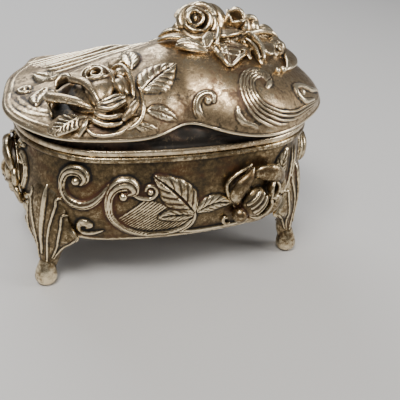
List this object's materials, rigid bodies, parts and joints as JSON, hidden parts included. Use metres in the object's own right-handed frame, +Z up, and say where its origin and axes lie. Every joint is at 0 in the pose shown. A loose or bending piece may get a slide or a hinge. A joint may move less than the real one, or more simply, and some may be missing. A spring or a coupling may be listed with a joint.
{
  "type": "vanity trinket box",
  "caption": "Footed cast-metal jewel casket with a hinged, domed lid in rose and scroll relief, and a padded silk lining.",
  "frame": {"origin": "on the table, under the middle of the casket's overall length and depth", "axes": "+Z up, +X along the length to the right, -Y towards the front; the hinge is on +Y"},
  "size_m": [0.137, 0.1004, 0.1085],
  "materials": {
    "plate_body": "cast spelter with a worn, tarnished silver plate",
    "plate_lid": "cast spelter with a rubbed, lighter silver plate",
    "base_sheet": "tinned sheet, dull",
    "hinge_metal": "plated brass, dull",
    "silk": "padded silk, faded rose",
    "card": "pasteboard",
    "trim": "twisted silk cord, old gold"
  },
  "bodies": {
    "casket": {"body_shell": "plate_body", "leg_front_left": "plate_body", "leg_front_right": "plate_body", "leg_rear_left": "plate_body", "leg_rear_right": "plate_body", "bud_front": "plate_body", "bud_back": "plate_body", "bud_left": "plate_body", "bud_right": "plate_body", "base_plate": "base_sheet", "floor_board": "card", "floor_pad": "silk", "wall_board": "card", "wall_lining": "silk", "body_trim_cord": "trim", "hinge_lower_leaf": "hinge_metal", "hinge_rivets_lower": "hinge_metal", "hinge_pin": "hinge_metal"},
    "lid": {"lid_shell": "plate_lid", "lid_rose_left": "plate_lid", "lid_rose_crest": "plate_lid", "lid_crest_spray": "plate_lid", "lid_board": "card", "lid_pad": "silk", "lid_trim_cord": "trim", "hinge_upper_leaf": "hinge_metal", "hinge_rivets_upper": "hinge_metal"}
  },
  "joints": [
    {"name": "lid_hinge", "type": "hinge", "parent": "casket", "child": "lid", "pos_m": [0, 0.0472, 0.064], "axis": [-1, 0, 0], "range_deg": [0, 100]}
  ]
}
